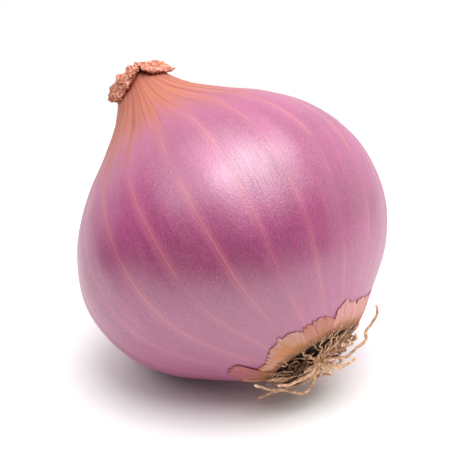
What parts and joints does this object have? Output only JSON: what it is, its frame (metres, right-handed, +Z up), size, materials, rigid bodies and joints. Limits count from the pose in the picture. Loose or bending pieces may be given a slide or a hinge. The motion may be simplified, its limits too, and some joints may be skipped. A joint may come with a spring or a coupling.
{
  "type": "pink shallot",
  "caption": "Cured pink shallot lying on a small flat spot: round bulb drawn up to a dry folded neck, torn skin flaps round a root plate, and wiry dried roots.",
  "frame": {"origin": "centre of the flat spot that the shallot rests on, at floor level", "axes": "+Z up; the bulb's axis lies in the XZ plane, root end towards +X and low, neck towards -X and high"},
  "size_m": [0.0439, 0.042, 0.0395],
  "materials": {
    "bulb_skin": "satin",
    "dry_neck": "matte",
    "dry_skin": "matte",
    "root_plate": "matte",
    "root_fibre": "matte"
  },
  "bodies": {
    "root": {"bulb": "bulb_skin", "flap_cream_front": "dry_skin", "flap_far_long": "dry_skin", "flap_far_lower": "dry_skin", "flap_far_middle": "dry_skin", "flap_far_upper": "dry_skin", "flap_long_tongue": "dry_skin", "flap_lower_front": "dry_skin", "flap_middle_front": "dry_skin", "flap_under": "dry_skin", "flap_under_front": "dry_skin", "flap_upper": "dry_skin", "flap_upper_pointed": "dry_skin", "neck_leaf_far": "dry_neck", "neck_leaf_front": "dry_neck", "neck_leaf_left": "dry_neck", "neck_leaf_right": "dry_neck", "neck_leaf_under": "dry_neck", "neck_stub": "dry_neck", "root_knot": "root_fibre", "root_plate": "root_plate", "root_short_01": "root_fibre", "root_short_02": "root_fibre", "root_short_03": "root_fibre", "root_short_04": "root_fibre", "root_short_05": "root_fibre", "root_short_06": "root_fibre", "root_short_07": "root_fibre", "root_short_08": "root_fibre", "root_short_09": "root_fibre", "root_short_10": "root_fibre", "root_short_11": "root_fibre", "root_short_12": "root_fibre", "root_short_13": "root_fibre", "root_short_14": "root_fibre", "root_stray_far": "root_fibre", "root_stray_far_curl": "root_fibre", "root_stray_far_short": "root_fibre", "root_stray_front": "root_fibre", "root_stray_low_loop": "root_fibre", "root_stray_low_straight": "root_fibre", "root_stray_short_hook": "root_fibre", "root_stray_under": "root_fibre"}
  },
  "joints": []
}
